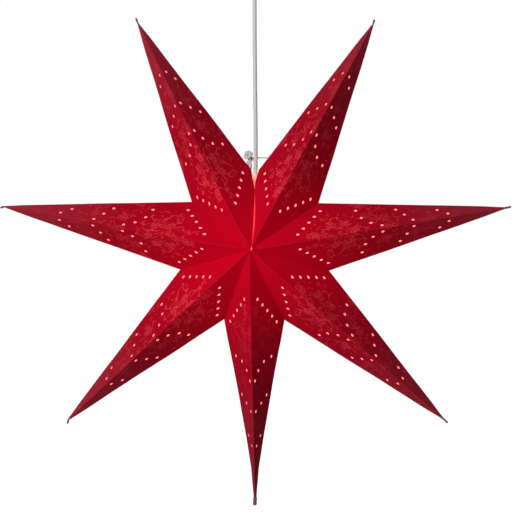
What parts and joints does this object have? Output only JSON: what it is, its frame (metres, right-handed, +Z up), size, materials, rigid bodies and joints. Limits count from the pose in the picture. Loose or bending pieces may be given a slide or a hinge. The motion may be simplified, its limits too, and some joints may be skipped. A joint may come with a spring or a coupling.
{
  "type": "led christmas star",
  "caption": "Seven-pointed folded paper star lantern with punched holes, a lamp inside, hung on a round cord from a ceiling cup.",
  "frame": {"origin": "middle of the ceiling bracket's top face, where it meets the ceiling", "axes": "+Z up, the star's front face looks toward -Y, +X to the right seen from the front"},
  "size_m": [0.7448, 0.2176, 0.8138],
  "materials": {
    "star_paper": "matte red paper, printed outside, lighter inside",
    "thread": "grey cotton string",
    "cord_pvc": "white flexible PVC sheath",
    "white_plastic": "moulded white thermoplastic",
    "zinc_steel": "zinc plated sheet steel",
    "ceramic": "glazed steatite",
    "plated_brass": "nickel plated brass",
    "opal_plastic": "opal polycarbonate",
    "circuit_board": "white solder mask"
  },
  "bodies": {
    "ceiling_fitting": {"ceiling_bracket": "zinc_steel", "ceiling_cup": "white_plastic", "cord_grip": "white_plastic", "terminal_block": "white_plastic", "cord_in_cup": "cord_pvc"},
    "cord_bend": {"cord_bend": "cord_pvc"},
    "cord": {"cord": "cord_pvc"},
    "star": {"holder_body": "white_plastic", "holder_cap": "white_plastic", "holder_contact": "plated_brass", "holder_insert": "ceramic", "holder_screw_shell": "plated_brass", "neck_knot": "thread", "neck_string": "thread", "panel_bottom_back_first": "star_paper", "panel_bottom_back_second": "star_paper", "panel_bottom_front_first": "star_paper", "panel_bottom_front_second": "star_paper", "panel_left_back_first": "star_paper", "panel_left_back_second": "star_paper", "panel_left_front_first": "star_paper", "panel_left_front_second": "star_paper", "panel_lower_left_back_first": "star_paper", "panel_lower_left_back_second": "star_paper", "panel_lower_left_front_first": "star_paper", "panel_lower_left_front_second": "star_paper", "panel_lower_right_back_first": "star_paper", "panel_lower_right_back_second": "star_paper", "panel_lower_right_front_first": "star_paper", "panel_lower_right_front_second": "star_paper", "panel_right_back_first": "star_paper", "panel_right_back_second": "star_paper", "panel_right_front_first": "star_paper", "panel_right_front_second": "star_paper", "panel_upper_left_back_first": "star_paper", "panel_upper_left_back_second": "star_paper", "panel_upper_left_front_first": "star_paper", "panel_upper_left_front_second": "star_paper", "panel_upper_right_back_first": "star_paper", "panel_upper_right_back_second": "star_paper", "panel_upper_right_front_first": "star_paper", "panel_upper_right_front_second": "star_paper", "pole_tie_back": "thread", "pole_tie_front": "thread", "tip_tab_bottom": "star_paper", "tip_tab_left": "star_paper", "tip_tab_lower_left": "star_paper", "tip_tab_lower_right": "star_paper", "tip_tab_right": "star_paper", "tip_tab_upper_left": "star_paper", "tip_tab_upper_right": "star_paper"},
    "lamp_tip": {"lamp_tip": "plated_brass"},
    "lamp": {"lamp_cap": "plated_brass", "lamp_housing": "white_plastic", "lamp_board": "circuit_board", "lamp_globe": "opal_plastic"}
  },
  "joints": [
    {"name": "swing_forward_back", "type": "hinge", "parent": "ceiling_fitting", "child": "cord_bend", "pos_m": [0, 0, -0.0726], "axis": [1, 0, 0], "range_deg": [-30, 30]},
    {"name": "swing_sideways", "type": "hinge", "parent": "cord_bend", "child": "cord", "pos_m": [0, 0, -0.0726], "axis": [0, 1, 0], "range_deg": [-30, 30]},
    {"name": "star_turn", "type": "hinge", "parent": "cord", "child": "star", "pos_m": [0, 0, -0.44], "axis": [0, 0, 1], "range_deg": [-180, 180]},
    {"name": "lamp_travel", "type": "slide", "parent": "star", "child": "lamp_tip", "axis": [0, 0, 1], "range_m": [-0.0085, 0]},
    {"name": "lamp_turn", "type": "hinge", "parent": "lamp_tip", "child": "lamp", "pos_m": [0, 0, -0.44], "axis": [0, 0, 1], "range_deg": [-1080, 0]}
  ],
  "couplings": [
    {"joint": "lamp_travel", "follows": "lamp_turn", "m_per_rad": 0.00044882}
  ]
}
